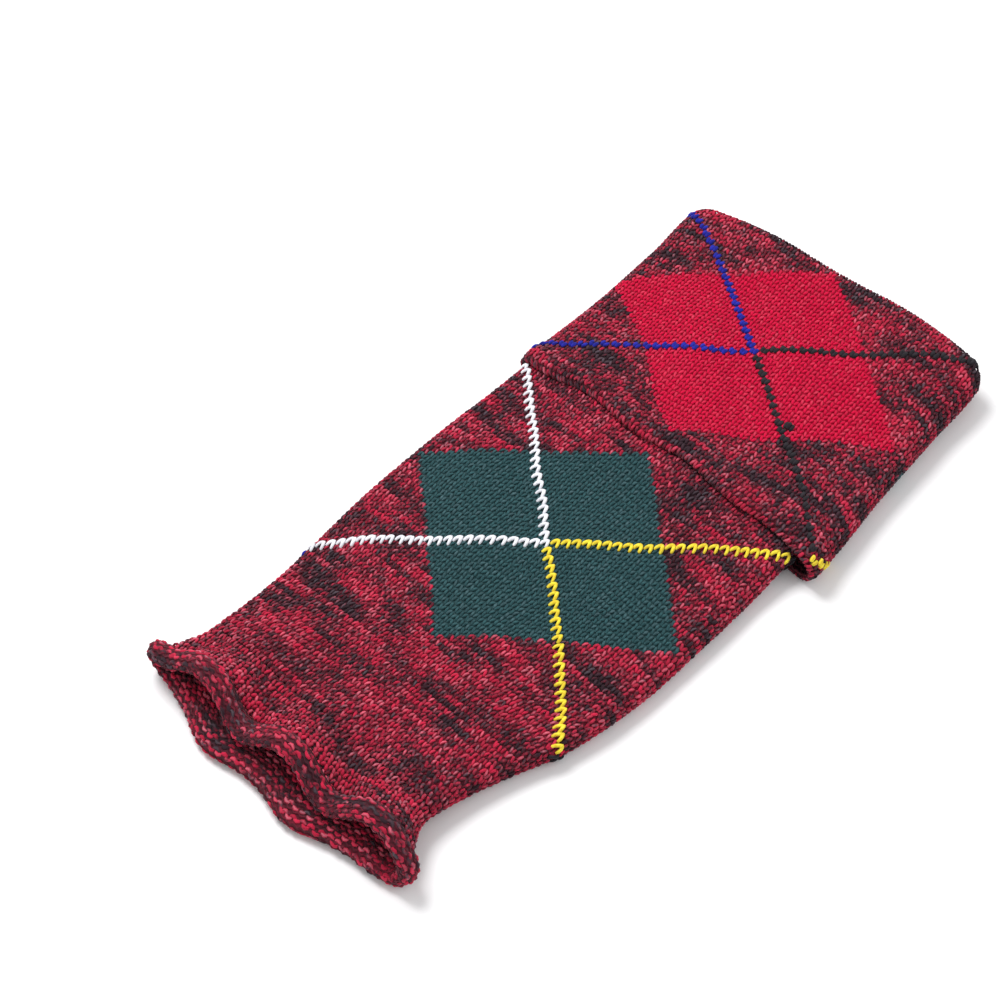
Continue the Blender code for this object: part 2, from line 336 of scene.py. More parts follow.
def fill_mesh(name, points, corners, sizes, maps, colours):
    """A smooth mesh from arrays: points, corners of the faces in turn, their sizes, UV maps and colours."""
    mesh = bpy.data.meshes.new(name)
    mesh.vertices.add(len(points))
    mesh.vertices.foreach_set("co", points.astype(np.float32).ravel())
    mesh.loops.add(len(corners))
    mesh.loops.foreach_set("vertex_index", corners.astype(np.int32))
    mesh.polygons.add(len(sizes))
    starts = np.concatenate([[0], np.cumsum(sizes)[:-1]])
    mesh.polygons.foreach_set("loop_start", starts.astype(np.int32))
    mesh.update(calc_edges=True)
    mesh.validate()
    for key, places in maps.items():
        mesh.uv_layers.new(name=key).data.foreach_set("uv", places.astype(np.float32).ravel())
    layer = mesh.color_attributes.new(name="yarn", type="FLOAT_COLOR", domain="POINT")
    rgba = np.concatenate([colours, np.ones((len(colours), 1))], axis=1)
    layer.data.foreach_set("color", rgba.astype(np.float32).ravel())
    mesh.shade_smooth()
    return mesh


def fabric(name, stations, side, colours, material):
    """The closed wall behind the stitches: its face lies SINK deep, its other side as in the model."""
    middle, out = wall_grid(stations)
    middle, out = middle[:, ::FINE], out[:, ::FINE]
    near, far = (WALL / 2 - SINK, WALL / 2) if side > 0 else (WALL / 2, WALL / 2 - SINK)
    skin = np.concatenate([middle + out * near, (middle - out * far)[::-1]])
    skin[:, :, 2] = np.maximum(skin[:, :, 2], 0)
    many, count = skin.shape[:2]
    i, k = (g.ravel() for g in np.meshgrid(np.arange(many), np.arange(count), indexing="ij"))
    beyond, beside = (i + 1) % many, (k + 1) % count
    corners = np.stack(
        [i * count + k, i * count + beside, beyond * count + beside, beyond * count + k], axis=1
    )
    u = np.stack([k, k + 1, k + 1, k], axis=1) / count
    v = np.stack([i, i, i + 1, i + 1], axis=1) / many
    maps = {"OFBake": np.stack([u, v], axis=2), "knit": np.stack([u * WALES, v * many], axis=2)}
    colours = np.concatenate([colours, colours[::-1]])
    mesh = fill_mesh(
        name, skin.reshape(-1, 3), corners.ravel(), np.full(len(corners), 4), maps, colours.reshape(-1, 3)
    )
    return new_object(name, mesh, material)


STRAND_SIDES = 5  # of the plain stitches' yarn
THICK_SIDES = 6  # of the thicker wool
BAKE_MARGIN = 0.08  # round each length's own cell of its map


def yarn_lengths(name, path, up, breadth, height, tints, material, sides=STRAND_SIDES):
    """Many short lengths of yarn in one mesh, along paths from tip to tip, with a tint for each point."""
    many, steps = path.shape[:2]
    rings = steps - 2
    along = np.gradient(path, axis=1)
    across = np.cross(along, up)
    across /= np.linalg.norm(across, axis=2, keepdims=True)
    lift = np.cross(across, along)
    lift /= np.linalg.norm(lift, axis=2, keepdims=True)
    angle = 2 * pi * (np.arange(sides) / sides) + pi / 2
    wide = (breadth[:, 1:-1, None] * np.cos(angle))[..., None] * across[:, 1:-1, None]
    high = (height[:, 1:-1, None] * np.sin(angle))[..., None] * lift[:, 1:-1, None]
    body = path[:, 1:-1, None] + wide + high
    points = np.concatenate([path[:, :1], body.reshape(many, -1, 3), path[:, -1:]], axis=1)
    points[..., 2] = np.maximum(points[..., 2], 0)

    corners, sizes, places = [], [], []
    last = 1 + rings * sides
    for k in range(sides):
        beside = (k + 1) % sides
        corners += [0, 1 + k, 1 + beside]
        places += [(0, (k + 0.5) / sides), (1 / (rings + 1), k / sides), (1 / (rings + 1), (k + 1) / sides)]
        sizes.append(3)
        for r in range(rings - 1):
            here = 1 + r * sides
            corners += [here + k, here + sides + k, here + sides + beside, here + beside]
            near, far = (r + 1) / (rings + 1), (r + 2) / (rings + 1)
            places += [(near, k / sides), (far, k / sides), (far, (k + 1) / sides), (near, (k + 1) / sides)]
            sizes.append(4)
        here = last - sides
        corners += [last, here + beside, here + k]
        end = rings / (rings + 1)
        places += [(1, (k + 0.5) / sides), (end, (k + 1) / sides), (end, k / sides)]
        sizes.append(3)
    corners = (np.arange(many)[:, None] * (last + 1) + np.array(corners)).ravel()
    places = np.broadcast_to(places, (many, len(places), 2))
    cells = int(np.ceil(np.sqrt(many)))
    cell = np.stack([np.arange(many) % cells, np.arange(many) // cells], axis=1)[:, None]
    baked = (cell + BAKE_MARGIN + (1 - 2 * BAKE_MARGIN) * places) / cells
    maps = {"OFBake": baked, "ply": places}
    mesh = fill_mesh(
        name, points.reshape(-1, 3), corners, np.tile(sizes, many), maps, tints.reshape(-1, 3)
    )
    return new_object(name, mesh, material)


def linear(colour):
    """An sRGB hex colour as linear red, green and blue."""
    parts = np.array([int(colour[i : i + 2], 16) / 255 for i in (1, 3, 5)])
    return np.where(parts <= 0.04045, parts / 12.92, ((parts + 0.055) / 1.055) ** 2.4)


# Each yarn: its lighter and its darker ply, and how strong a pale painted highlight lies along the top of a
# strand.
YARNS = {
    "marl": ("#BE2342", "#35232B", 0.22),
    "green": ("#375C60", "#1A363B", 0.06),
    "crimson": ("#D00E40", "#BC0A36", 0.08),
    "white": ("#F6F6FA", "#DCDCE6", 0.0),
    "yellow": ("#F8EA4A", "#D8AE2A", 0.0),
    "blue": ("#2C30AC", "#151660", 0.0),
    "black": ("#332E33", "#1A1A1E", 0.01),
}
YARN_NAMES = list(YARNS)
MARL = YARN_NAMES.index("marl")
LIGHT_PLY = np.array([linear(YARNS[name][0]) for name in YARN_NAMES])
DARK_PLY = np.array([linear(YARNS[name][1]) for name in YARN_NAMES])
# How strong each yarn's painted highlight is, and the pale colour it adds.
PAINTED_HIGHLIGHT_SHARE = np.array([YARNS[name][2] for name in YARN_NAMES])
PAINTED_HIGHLIGHT_COLOUR = linear("#E6E2F2")

STREAK_LENGTH = 2.6  # stitches over which a streak of the marl fades
STREAK_REACH = 6  # stitches to each side over which it is worked out
STREAK_JOINING = 0.2  # how much of it shows in the courses above and below
STREAK_CONTRAST = 0.23


def marl_shares(courses, seed, middle=0.5):
    """How dark the marled yarn is at each stitch: it runs light and dark in streaks along its course, and
    where streaks of two or three courses meet they make a patch."""
    rng = np.random.default_rng(seed)
    grain = rng.normal(size=(courses, WALES))
    offsets = np.arange(-STREAK_REACH, STREAK_REACH + 1)
    shares = np.exp(-((offsets / STREAK_LENGTH) ** 2))
    streak = sum(share * np.roll(grain, offset, axis=1) for share, offset in zip(shares, offsets))
    streak = streak + STREAK_JOINING * (np.roll(streak, 1, axis=0) + np.roll(streak, -1, axis=0))
    return middle + STREAK_CONTRAST * streak / streak.std()


def argyle(i, j, front, back, front_lines, back_lines):
    """The yarn of each stitch i wales and j courses from the lozenge's middle, and that of any overcheck
    stitch over it, or -1."""
    i = (i + WALES // 2) % WALES - WALES // 2
    k = (i + WALES) % WALES - WALES // 2  # the same from the middle of the lozenge on the back
    yarn = np.full(np.broadcast(i, j).shape, MARL)
    yarn[np.abs(i) + np.abs(j) <= LOZENGE] = YARN_NAMES.index(front)
    yarn[np.abs(k) + np.abs(j) <= LOZENGE] = YARN_NAMES.index(back)
    line = np.full(yarn.shape, -1)
    for middle, colours in ((i, front_lines), (k, back_lines)):
        on_line = (np.abs(middle) == np.abs(j)) & (np.abs(middle) <= OVERCHECK)
        line[on_line & (middle <= 0)] = YARN_NAMES.index(colours[0])
        line[on_line & (middle > 0)] = YARN_NAMES.index(colours[1])
    return yarn, line


PLY_TURN = 0.3  # turns of the two plies from one ring of a strand to the next
PLY_CONTRAST = 0.3  # how far the winding shifts the mix of the light and the dark ply
MARL_CONTRAST = 1.8
PLAIN_MIX = 0.42  # share of the darker ply in a yarn of one colour
MARL_BRIGHTNESS = (0.72, 1.15)  # from the dullest strand to the brightest
PLAIN_BRIGHTNESS = (0.88, 1.08)
HIGHLIGHT_RARITY = 3  # above 1, few strands get a strong painted highlight
HIGHLIGHT_LOSS = 0.6  # how much less of the painted highlight shows on the black ply


def ply_tints(yarn, dark, rings, sides, rng):
    """The colour of each point of each length of yarn: the two plies wind round each other, and a pale
    painted highlight lies along the top of some strands.
    """
    many = len(yarn)
    marl = (yarn == MARL)[:, None]
    ring = np.concatenate([[0], np.repeat(np.arange(1, rings + 1), sides), [rings + 1]])
    side = np.concatenate([[0], np.tile(np.arange(sides), rings), [0]])
    phase = rng.uniform(0, 2 * pi, size=(many, 1))
    twist = PLY_CONTRAST * np.cos(2 * pi * (side / sides + ring * PLY_TURN) + phase)
    marl_mix = 0.5 + MARL_CONTRAST * (dark[:, None] - 0.5 + twist)
    mix = ease(np.where(marl, marl_mix, PLAIN_MIX + twist))
    marl_bright = rng.uniform(*MARL_BRIGHTNESS, size=many)
    plain_bright = rng.uniform(*PLAIN_BRIGHTNESS, size=many)
    bright = np.where(marl[:, 0], marl_bright, plain_bright)
    light, deep = LIGHT_PLY[yarn], DARK_PLY[yarn]
    tints = light[:, None] * (1 - mix[..., None]) + deep[:, None] * mix[..., None]
    # Painted highlight: the top side of each strand is made paler towards its middle, where light would
    # catch it.
    crest = np.where(side == 0, np.sin(pi * ring / (rings + 1)), 0)
    highlight_strength = PAINTED_HIGHLIGHT_SHARE[yarn] * rng.uniform(0, 1, size=many) ** HIGHLIGHT_RARITY
    painted_highlight = highlight_strength[:, None] * crest * (1 - HIGHLIGHT_LOSS * mix)
    return tints * bright[:, None, None] + painted_highlight[..., None] * PAINTED_HIGHLIGHT_COLOUR


# One leg of a stitch, left of the middle of its wale; the other is its mirror image.
STITCH_LEG = (
    # across in wales, along in courses, height in mm, share of the thickness
    (0.19, -0.18, -0.50, 0.0),
    (0.15, 0.10, 0.14, 0.88),
    (0.23, 0.45, 0.42, 1.00),
    (0.34, 0.80, 0.22, 0.88),
    (0.43, 1.10, -0.50, 0.0),
)
LEG_MIDDLE = 0.45  # of that leg, along
YARN_BREADTH = 0.212  # half the yarn's width, in wales
YARN_HEIGHT = 0.00050  # half its thickness
YARN_EVENNESS = (0.9, 1.1)  # from the thinnest strand to the thickest
RISE_EVENNESS = (0.85, 1.15)  # from the flattest stitch to the highest
STITCH_STRAY = 0.026  # how far a stitch strays across, in wales
STRAY_ALONG = 1.6  # times as far along
STRAY_LEAN = 2.0  # times as far from end to end
MARL_LOOSENESS = 2.0  # the marl is knitted less evenly than the plain yarns
STRAND_CONTRAST = 0.16  # between one strand of the marl and the next


def stitches(name, face, courses, wales, chart, material, seed):
    """Both legs of every stitch over these courses and wales, in the chart's colours."""
    rng = np.random.default_rng(seed)
    shape = np.array(STITCH_LEG)
    c, w = (g.ravel() for g in np.meshgrid(np.arange(*courses), np.arange(*wales), indexing="ij"))
    w = (w + WALES // 2) % WALES - WALES // 2
    half_round = face.wales_at(c) / 2
    worked = (w >= -half_round) & (w < half_round)
    c, w = c[worked], w[worked]
    yarn, dark = chart(c, w)
    loose = np.where(yarn == MARL, MARL_LOOSENESS, 1.0)[:, None]
    paths = []
    for mirror in (False, True):
        across = 1 - shape[:, 0] if mirror else shape[:, 0]
        along, aside, lean = rng.normal(scale=STITCH_STRAY, size=(3, len(c), 1)) * loose
        course = c[:, None] + shape[:, 1] + STRAY_ALONG * along
        wale = w[:, None] - 0.5 + across + aside + STRAY_LEAN * lean * (shape[:, 1] - LEG_MIDDLE)
        points, out, width = face.at(course, wale)
        thick = shape[:, 3] * rng.uniform(*YARN_EVENNESS, size=(len(c), 1))
        rise = (shape[:, 2] / 1000)[:, None] * rng.uniform(*RISE_EVENNESS, size=(len(c), 1, 1))
        points = points + out * rise
        strand_dark = dark + rng.normal(scale=STRAND_CONTRAST, size=dark.shape)
        tints = ply_tints(yarn, strand_dark, len(shape) - 2, STRAND_SIDES, rng)
        paths.append((points, out, thick * width * YARN_BREADTH, thick * YARN_HEIGHT, tints))
    joined = [np.concatenate(parts) for parts in zip(*paths)]
    return yarn_lengths(name, *joined, material)


def add_node(tree, kind, links=(), **settings):
    """A node with its settings, and links into it: (its input, the other node, that node's output)."""
    node = tree.nodes.new(kind)
    for key, value in settings.items():
        if hasattr(node, key):
            setattr(node, key, value)
        else:
            node.inputs[key.replace("_", " ")].default_value = value
    for into, other, output in links:
        tree.links.new(other.outputs[output], node.inputs[into])
    return node


def worsted(name):
    """Worsted wool yarn: two plies, matt, with short fuzz that catches the light along the edges."""
    material = bpy.data.materials.new(name)
    material.use_nodes = True
    tree = material.node_tree
    shader = tree.nodes["Principled BSDF"]
    shader.inputs["Roughness"].default_value = 0.88
    shader.inputs["IOR"].default_value = 1.54
    shader.inputs["Specular IOR Level"].default_value = 0.1
    shader.inputs["Sheen Weight"].default_value = 0.06
    shader.inputs["Sheen Roughness"].default_value = 0.45
    yarn = add_node(tree, "ShaderNodeAttribute", attribute_name="yarn")
    place = add_node(tree, "ShaderNodeUVMap", uv_map="ply")
    # The streaks of the fibres slant round each strand, and are drawn coarser than in real wool.
    strands = add_node(
        tree, "ShaderNodeMapping", [("Vector", place, "UV")], Scale=(1.0, 2.0, 1.0), Rotation=(0, 0, 0.6)
    )
    fibres = add_node(tree, "ShaderNodeTexNoise", [("Vector", strands, "Vector")], Scale=6.0, Detail=2.0)
    # The colour follows the same noise as the bump: partly random fibre tone, partly painted shade that
    # darkens the grooves.
    shade = add_node(
        tree,
        "ShaderNodeMapRange",
        [("Value", fibres, "Fac")],
        From_Min=0.3,
        From_Max=0.7,
        To_Min=0.82,
        To_Max=1.12,
    )
    tinted = add_node(
        tree,
        "ShaderNodeVectorMath",
        [(0, yarn, "Color"), (1, shade, "Result")],
        operation="MULTIPLY",
    )
    bump = add_node(tree, "ShaderNodeBump", [("Height", fibres, "Fac")], Strength=0.35, Distance=0.0003)
    tree.links.new(tinted.outputs["Vector"], shader.inputs["Base Color"])
    tree.links.new(bump.outputs["Normal"], shader.inputs["Normal"])
    return material


def purl_side(name):
    """The back of the knitting: rows of purl bumps in the same matt wool, 2.5 to 3 mm wide, with painted
    shade darkening the colour in the hollows between them.
    """
    material = bpy.data.materials.new(name)
    material.use_nodes = True
    tree = material.node_tree
    shader = tree.nodes["Principled BSDF"]
    shader.inputs["Roughness"].default_value = 0.92
    shader.inputs["Sheen Weight"].default_value = 0.04
    shader.inputs["Specular IOR Level"].default_value = 0.1
    yarn = add_node(tree, "ShaderNodeAttribute", attribute_name="yarn")
    place = add_node(tree, "ShaderNodeUVMap", uv_map="knit")
    parts = add_node(tree, "ShaderNodeSeparateXYZ", [("Vector", place, "UV")])
    wale = add_node(tree, "ShaderNodeMath", [(0, parts, "X")], operation="MULTIPLY")
    wale.inputs[1].default_value = 2 * pi
    ripple = add_node(tree, "ShaderNodeMath", [(0, wale, "Value")], operation="SINE")
    course = add_node(tree, "ShaderNodeMath", [(0, parts, "Y")], operation="MULTIPLY")
    course.inputs[1].default_value = 2 * pi
    bent = add_node(tree, "ShaderNodeMath", [(0, course, "Value"), (1, ripple, "Value")], operation="ADD")
    bumps = add_node(tree, "ShaderNodeMath", [(0, bent, "Value")], operation="SINE")
    # Painted shade: the colour drops to 0.6 of itself in the hollows between the bumps.
    shade = add_node(
        tree,
        "ShaderNodeMapRange",
        [("Value", bumps, "Value")],
        From_Min=-1.0,
        From_Max=1.0,
        To_Min=0.6,
        To_Max=1.0,
    )
    tinted = add_node(
        tree,
        "ShaderNodeVectorMath",
        [(0, yarn, "Color"), (1, shade, "Result")],
        operation="MULTIPLY",
    )
    bump = add_node(tree, "ShaderNodeBump", [("Height", bumps, "Value")], Strength=0.8, Distance=0.0008)
    tree.links.new(tinted.outputs["Vector"], shader.inputs["Base Color"])
    tree.links.new(bump.outputs["Normal"], shader.inputs["Normal"])
    return material


wool_yarn = worsted("worsted_wool_yarn")
wool_back = purl_side("worsted_wool_purl_side")

leg_centre_course = round(LEG_CENTRE / LEG_COURSE)
leg_marl = marl_shares(120, seed=11)


def leg_pattern(course, wale):
    """In front a green lozenge with white and yellow lines, behind a crimson one with black and blue."""
    j = course - leg_centre_course
    return argyle(wale, j, "green", "crimson", ("white", "yellow"), ("black", "blue"))


def leg_chart(course, wale):
    """The yarn of each of the leg's stitches, and how dark the marl is there."""
    return leg_pattern(course, wale)[0], leg_marl[course % len(leg_marl), wale % WALES]


PLAIN_GROUND = 0.15  # share of the darker ply behind the plain yarns


def ground_colours(chart, courses, turned=0.0, spread=0.0, depth=0.5):
    """The colours of the wall behind the stitches, by course and wale; in the marl it follows the streaks
    but is pushed towards the black ply by depth, painted shade in the gaps between the stitches.
    """
    wales = np.arange(WALES)
    eased = spread * np.sin(2 * pi * wales / WALES) * WALES / (2 * pi)
    wales = np.round(wales - turned - eased).astype(int)
    c, w = np.meshgrid(courses, wales, indexing="ij")
    yarn, dark = chart(c, w)
    # Painted shade: depth pushes the marl ground towards its black ply, so the gaps between the stitches
    # look darker.
    dark = np.where(yarn == MARL, depth + (1 - depth) * np.clip(dark, 0, 1), PLAIN_GROUND)[..., None]
    return LIGHT_PLY[yarn] * (1 - dark) + DARK_PLY[yarn] * dark


def both_layers(name, face, courses, chart, seed):
    """The stitches of the upper and of the lower layer, a piece each."""
    pieces = []
    for place, wales in HALVES:
        piece = stitches(name + place, face, courses, wales, chart, wool_yarn, seed + wales[0])
        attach(piece, "root")
        pieces.append(piece)
    return pieces


LEG_UNDER_CUFF = 2  # courses that run on under the cuff's edge
leg_courses = int((CUFF_EDGE - HEM_RADIUS) / LEG_COURSE) + LEG_UNDER_CUFF
leg_line = [(0.0, 0, 0), (LEG_TOP, 0, 0)]
leg_rows = even_walk(leg_line, LEG_TOP / round(LEG_TOP / LEG_COURSE))
leg_ground = ground_colours(leg_chart, np.arange(len(leg_rows)))
leg_fabric = fabric("leg_fabric", leg_rows, 1, leg_ground, wool_back)
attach(leg_fabric, "root")
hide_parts("leg")

leg_reach = [(y, 0, 0) for y in np.linspace(-2 * LEG_COURSE, (leg_courses + 2) * LEG_COURSE, 200)]
leg_face = Face(even_walk(leg_reach, LEG_COURSE / FINE), 1, start=-2, narrowed=((0, NARROWING), (1, 0)))
leg_pieces = both_layers("leg_stitches_", leg_face, (0, leg_courses), leg_chart, seed=61)


# The overcheck on the leg: thin crossed lines of thicker wool, worked over single knitted stitches.
# Each stitch of them is a hook of two joined legs, a wale and a course on from the last.
HOOK_LEG = (
    # across in wales, along in courses, height in mm, share of the thickness
    (0.10, -0.42, -0.40, 0.0),
    (0.06, -0.18, 0.55, 0.85),
    (0.12, 0.18, 0.95, 1.00),
    (0.25, 0.56, 1.05, 1.05),
    (0.41, 0.86, 0.95, 1.05),
    (0.50, 1.06, 0.50, 0.90),
    (0.55, 1.18, -0.40, 0.0),
)
HOOK_BREADTH = 0.00072  # half the width of its yarn
HOOK_HEIGHT = 0.00062
HOOK_EVENNESS = (0.88, 1.1)  # from the thinnest strand to the thickest
HOOK_STRAY = 0.035  # in stitches


def overcheck(name, face, courses, lines, material, seed, shape=HOOK_LEG, breadth=HOOK_BREADTH):
    """The hooks of the overcheck lines, on every stitch that the chart marks."""
    rng = np.random.default_rng(seed)
    shape = np.array(shape)
    wales = np.arange(-QUARTER, 3 * QUARTER)
    c, w = (g.ravel() for g in np.meshgrid(np.arange(*courses), wales, indexing="ij"))
    line = lines(c, w)
    c, w, yarn = c[line >= 0], w[line >= 0], line[line >= 0]
    paths = []
    for mirror in (False, True):
        across = 1 - shape[:, 0] if mirror else shape[:, 0]
        along, aside = rng.normal(scale=HOOK_STRAY, size=(2, len(c), 1))
        points, out, _ = face.at(c[:, None] + shape[:, 1] + along, w[:, None] - 0.5 + across + aside)
        thick = shape[:, 3] * rng.uniform(*HOOK_EVENNESS, size=(len(c), 1))
        points = points + out * (shape[:, 2] / 1000)[:, None]
        tints = ply_tints(yarn, np.zeros(len(c)), len(shape) - 2, THICK_SIDES, rng)
        paths.append((points, out, thick * breadth, thick * HOOK_HEIGHT, tints))
    joined = [np.concatenate(parts) for parts in zip(*paths)]
    piece = yarn_lengths(name, *joined, material, sides=THICK_SIDES)
    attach(piece, "root")
    return piece


def leg_lines(course, wale):
    return leg_pattern(course, wale)[1]


leg_overcheck = overcheck("leg_overcheck", leg_face, (0, leg_courses), leg_lines, wool_yarn, seed=5)


# The turned-over cuff: the top of the same tube, folded outwards and down over the leg.
# Its courses are a little closer and its stitches point down. Its lozenge is crimson in front, with blue
# and black lines.
CUFF_COURSE = 0.00247
CUFF_CENTRE = 0.2387  # of the cuff's lozenge, up from the start of the frill
CUFF_TURNED = -1.4  # wales that the cuff's pattern lies to the left of the leg's middle
CUFF_SPREAD = -0.022  # share by which the wales in its middle are wider
INSIDE_COURSES = 5  # that lie inside the mouth
BACK_LINE_REACH = 19  # courses from the lozenge's middle towards the fold

fold_turns = np.linspace(0, pi, 24)
hem_turns = np.linspace(0, pi / 2, 8)[1:]
cuff_inside = [(LEG_TOP + JOIN_GAP, 0, 0)]
cuff_fold = [
    (FOLD + FOLD_RADIUS * sin(a), FOLD_RADIUS * (1 - cos(a)), (1 - cos(a)) / 2) for a in fold_turns
]
cuff_down = [(y, cuff_height(y), 1) for y in np.linspace(FOLD, CUFF_EDGE, 300)[1:]]
cuff_hem = [(CUFF_EDGE - HEM_RADIUS * sin(a), LAYER - HEM_RADIUS * (1 - cos(a)), 1) for a in hem_turns]
cuff_profile = cuff_inside + cuff_fold + cuff_down + cuff_hem
cuff_stations = even_walk(cuff_profile, CUFF_COURSE / FINE)
cuff_courses = (len(cuff_stations) - 1) // FINE
down_to_centre = FOLD - LEG_TOP - JOIN_GAP + pi * FOLD_RADIUS + FOLD - CUFF_CENTRE
cuff_centre_course = round(down_to_centre / CUFF_COURSE)
cuff_marl = marl_shares(70, seed=31, middle=0.57)


def cuff_pattern(course, wale):
    """In front a crimson lozenge with blue and black lines, behind a green one with yellow and white."""
    j = course - cuff_centre_course
    return argyle(wale, j, "crimson", "green", ("blue", "black"), ("yellow", "white"))


def cuff_chart(course, wale):
    """The yarn of each of the cuff's stitches, and how dark the marl is there."""
    return cuff_pattern(course, wale)[0], cuff_marl[course % len(cuff_marl), wale % WALES]


def cuff_lines(course, wale):
    """The cuff's overcheck; the lines on the back stop some stitches short of the fold."""
    line = cuff_pattern(course, wale)[1]
    line[(course - cuff_centre_course < -BACK_LINE_REACH) & (np.abs(wale) > OVERCHECK)] = -1
    return line


cuff_rows = even_walk(cuff_profile, CUFF_COURSE)
cuff_ground = ground_colours(cuff_chart, np.arange(len(cuff_rows)), CUFF_TURNED, CUFF_SPREAD)
cuff_fabric = fabric("cuff_fabric", cuff_rows, -1, cuff_ground, wool_back)
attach(cuff_fabric, "root")
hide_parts("turnover_cuff")

cuff_face = Face(cuff_stations, -1, turned=CUFF_TURNED, spread=CUFF_SPREAD)
cuff_shown = (INSIDE_COURSES, cuff_courses)
cuff_pieces = both_layers("cuff_stitches_", cuff_face, cuff_shown, cuff_chart, seed=91)

# On the cuff the hooks of the overcheck are drawn tight, into beads.
BEAD_LEG = (
    # across in wales, along in courses, height in mm, share of the thickness
    (0.30, -0.46, -0.40, 0.0),
    (0.23, -0.14, 0.44, 0.95),
    (0.25, 0.28, 0.70, 1.10),
    (0.33, 0.70, 0.66, 1.05),
    (0.42, 1.04, -0.40, 0.0),
)
BEAD_BREADTH = 0.00088  # half the width of its yarn

cuff_overcheck = overcheck(
    "cuff_overcheck",
    cuff_face,
    cuff_shown,
    cuff_lines,
    wool_yarn,
    seed=6,
    shape=BEAD_LEG,
    breadth=BEAD_BREADTH,
)

# A small knot where a length of the black wool is tied off, just right of its line.
KNOT_PLACE = (9.0, 10.5)  # in courses and wales from the middle of the lozenge
KNOT_TURNS = (
    # along the course, height
    (-0.0012, 0.0),
    (0.0, 0.0007),
    (0.0012, 0.0),
)
KNOT_REACH = 0.0019  # half the length of each of its turns
KNOT_BOW = 0.0011  # how far they bow up
KNOT_BREADTH = 0.001  # half the width of the wool
KNOT_HEIGHT = 0.0008
KNOT_THICKNESS = (0, 0.8, 1.0, 1.0, 1.0, 0.8, 0)  # along each turn, as shares

knot_at = np.array(KNOT_PLACE) + (cuff_centre_course, 0)
spot, way_out, _ = cuff_face.at(knot_at[:1], knot_at[1:])
beyond, _, _ = cuff_face.at(knot_at[:1] + 1, knot_at[1:])
down = (beyond - spot)[0] / np.linalg.norm(beyond - spot)
sideways = np.cross(way_out[0], down)
bow = np.linspace(-1, 1, len(KNOT_THICKNESS))
knot_turns = []
for aside, height in KNOT_TURNS:
    along_turn = np.outer(bow * KNOT_REACH, down)
    above = np.outer(height + KNOT_BOW * (1 - bow**2), way_out[0])
    knot_turns.append(spot + along_turn + sideways * aside + above)
knot_count = len(KNOT_TURNS)
knot_yarn = np.full(knot_count, YARN_NAMES.index("black"))
knot_rng = np.random.default_rng(8)
knot_tints = ply_tints(knot_yarn, np.zeros(knot_count), len(bow) - 2, THICK_SIDES, knot_rng)
cuff_knot = yarn_lengths(
    "cuff_knot",
    np.array(knot_turns),
    np.broadcast_to(way_out[0], (knot_count, len(bow), 3)),
    np.tile(np.array(KNOT_THICKNESS) * KNOT_BREADTH, (knot_count, 1)),
    np.tile(np.array(KNOT_THICKNESS) * KNOT_HEIGHT, (knot_count, 1)),
    knot_tints,
    wool_yarn,
    sides=THICK_SIDES,
)
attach(cuff_knot, "root")


# The ankle frill: the loose end of the tube, flared into waves, its edge rolled outwards.
# Stocking stitch rolls of itself, so the roll shows the purl side: rows of small bumps of the marled wool.
FRILL_COURSE = 0.0034
ROLL_TURN = 250  # degrees
ROLL_COURSES = 10  # courses of the roll that show the purl side

roll_turns = np.radians(np.linspace(ROLL_TURN, 0, 60))
roll_profile = [(RIM - ROLL_REACH * sin(a), ROLL_RADIUS * (1 - cos(a)), 0) for a in roll_turns]
frill_profile = roll_profile + [(y, 0, 0) for y in np.linspace(RIM, -JOIN_GAP, 60)[1:]]
frill_marl = marl_shares(40, seed=51, middle=0.42)


def frill_chart(course, wale):
    """The yarn of each of the frill's stitches, all of it marl, and how dark it is there."""
    yarn = np.full(np.broadcast(course, wale).shape, MARL)
    return yarn, frill_marl[course % len(frill_marl), wale % WALES]


frill_rows = even_walk(frill_profile, FRILL_COURSE / 2)
# The frill's ground is pushed darker still: painted shade between its stitches and purl bumps.
frill_ground = ground_colours(frill_chart, np.arange(len(frill_rows)) // 2, depth=0.7)
frill_fabric = fabric("frill_fabric", frill_rows, 1, frill_ground, wool_back)
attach(frill_fabric, "root")
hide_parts("ankle_frill")

# The knit side's rows are counted down from the first row of the leg, which they run into.
knit_courses = int(-RIM / FRILL_COURSE)
frill_start = -knit_courses - 1
knit_reach = [(y, 0, 0) for y in np.linspace(frill_start * FRILL_COURSE, 2 * FRILL_COURSE, 80)]
ankle_narrowed = ((0, 1), (1, 1))  # the same number of wales all the way
frill_face = Face(even_walk(knit_reach, FRILL_COURSE / FINE), 1, start=frill_start, narrowed=ankle_narrowed)
frill_stitches = stitches(
    "frill_stitches", frill_face, (-knit_courses, 0), (0, WALES), frill_chart, wool_yarn, seed=61
)
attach(frill_stitches, "root")

# A purl bump: the head of one stitch, which bows up over the next.
PURL_BUMP = (
    # across in wales, along in courses, height in mm, share of the thickness
    (-0.06, 0.16, -0.50, 0.0),
    (0.07, 0.30, 0.10, 0.78),
    (0.26, 0.48, 0.46, 1.00),
    (0.50, 0.57, 0.62, 1.12),
    (0.74, 0.48, 0.46, 1.00),
    (0.93, 0.30, 0.10, 0.78),
    (1.06, 0.16, -0.50, 0.0),
)
BUMP_MIDDLE = 0.33  # of its height, along
BUMP_BREADTH = 0.00072  # half the width of the yarn
BUMP_HEIGHT = 0.00058
BUMP_STRAY = 0.08  # in stitches
BUMP_CONTRAST = 0.3  # between one bump and the next


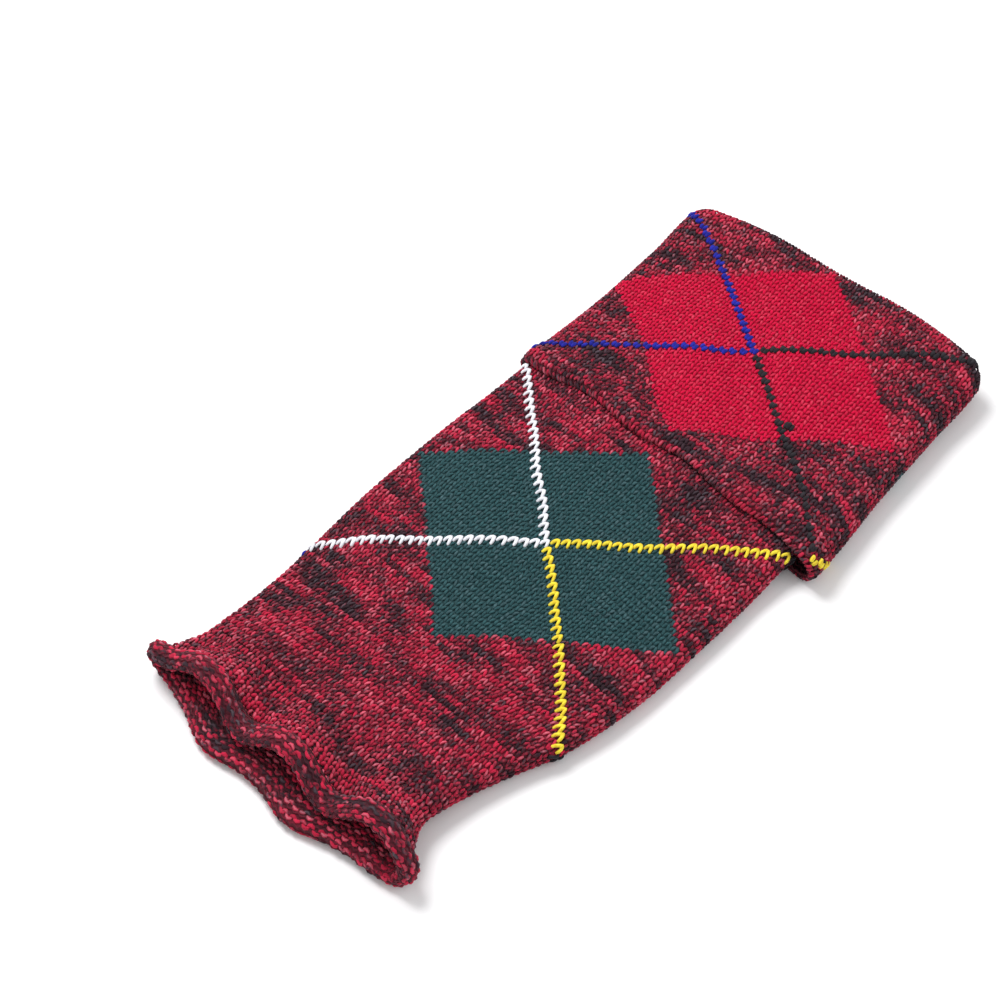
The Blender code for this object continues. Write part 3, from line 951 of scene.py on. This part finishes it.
def purl_bumps(name, face, courses, chart, material, seed):
    """Rows of purl bumps: in each stitch one bows up and, half a wale on, one bows down."""
    rng = np.random.default_rng(seed)
    shape = np.array(PURL_BUMP)
    c, w = (g.ravel() for g in np.meshgrid(np.arange(*courses), np.arange(ANKLE_WALES), indexing="ij"))
    yarn, dark = chart(c, w)
    paths = []
    for turn, step in ((1, 0.0), (-1, 0.5)):
        along, aside = rng.normal(scale=BUMP_STRAY, size=(2, len(c), 1))
        course = c[:, None] + 0.5 + turn * (shape[:, 1] - BUMP_MIDDLE) + along
        wale = w[:, None] - 0.5 + step + shape[:, 0] + aside
        points, out, _ = face.at(course, wale)
        thick = shape[:, 3] * rng.uniform(*HOOK_EVENNESS, size=(len(c), 1))
        points = points + out * (shape[:, 2] / 1000)[:, None]
        bump_dark = dark + rng.normal(scale=BUMP_CONTRAST, size=dark.shape)
        tints = ply_tints(yarn, bump_dark, len(shape) - 2, STRAND_SIDES, rng)
        paths.append((points, out, thick * BUMP_BREADTH, thick * BUMP_HEIGHT, tints))
    joined = [np.concatenate(parts) for parts in zip(*paths)]
    piece = yarn_lengths(name, *joined, material)
    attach(piece, "root")
    return piece


roll_face = Face(even_walk(frill_profile, FRILL_COURSE / FINE), -1, narrowed=ankle_narrowed)
roll_stitches = purl_bumps(
    "frill_roll_stitches", roll_face, (0, ROLL_COURSES), frill_chart, wool_yarn, seed=71
)


# The table: a plain matt white surface. A large soft light stands above it on the left and a weaker one
# on the right, in a bright white room.
floor_mesh = bpy.data.meshes.new("floor")
floor_mesh.from_pydata([(-3, -3, 0), (3, -3, 0), (3, 3, 0), (-3, 3, 0)], [], [(0, 1, 2, 3)])
table_white = bpy.data.materials.new("matt_white_laminate")
table_white.use_nodes = True
table_shader = table_white.node_tree.nodes["Principled BSDF"]
table_shader.inputs["Base Color"].default_value = (*linear("#F7F7F8"), 1)
table_shader.inputs["Roughness"].default_value = 0.7
table_shader.inputs["Specular IOR Level"].default_value = 0.2
floor = new_object("floor", floor_mesh, table_white)


def soft_light(name, place, size, power):
    """A round soft light, turned to the middle of the hose top."""
    data = bpy.data.lights.new(name, "AREA")
    data.shape = "DISK"
    data.size = size
    data.energy = power
    light = bpy.data.objects.new(name, data)
    light.location = place
    x, y, z = place
    light.rotation_euler = (np.arctan2(np.hypot(x, y), z), 0, np.arctan2(x, -y))
    bpy.context.scene.collection.objects.link(light)


soft_light("key_light", (-0.75, 0.1, 1.15), size=0.7, power=16)
soft_light("fill_light", (0.9, 0.3, 1.3), size=1.0, power=4)
world = bpy.data.worlds.new("studio")
world.use_nodes = True
world.node_tree.nodes["Background"].inputs["Color"].default_value = (1, 1, 1, 1)
world.node_tree.nodes["Background"].inputs["Strength"].default_value = 0.66
bpy.context.scene.world = world
bpy.context.scene.view_settings.view_transform = "Standard"
